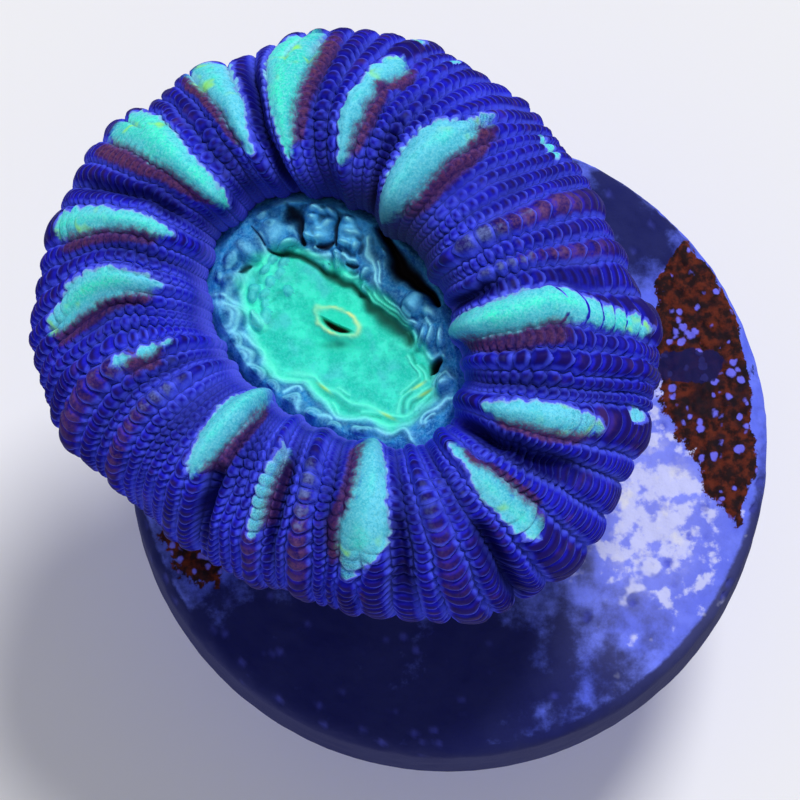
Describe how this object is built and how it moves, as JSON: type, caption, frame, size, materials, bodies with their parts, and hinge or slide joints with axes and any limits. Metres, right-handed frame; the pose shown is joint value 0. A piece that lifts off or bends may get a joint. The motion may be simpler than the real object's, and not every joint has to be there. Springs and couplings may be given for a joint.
{
  "type": "candy cane coral",
  "caption": "Candy cane coral polyp with a ribbed fleshy ring around a sunken mouth, on a short stony stem glued to a round ceramic plug with a peg.",
  "frame": {"origin": "centre of the peg's flat foot", "axes": "+Z up along the peg, out of the plug's disc towards the coral; +X is right and +Y is up in the reference view, which looks down from the -Y side"},
  "size_m": [0.0286, 0.0262, 0.0323],
  "materials": {
    "flesh": "satin",
    "skeleton": "matte",
    "glue": "satin",
    "ceramic": "matte"
  },
  "bodies": {
    "root": {"coral": "flesh", "glue_collar": "glue", "frag_plug": "ceramic"}
  },
  "joints": []
}
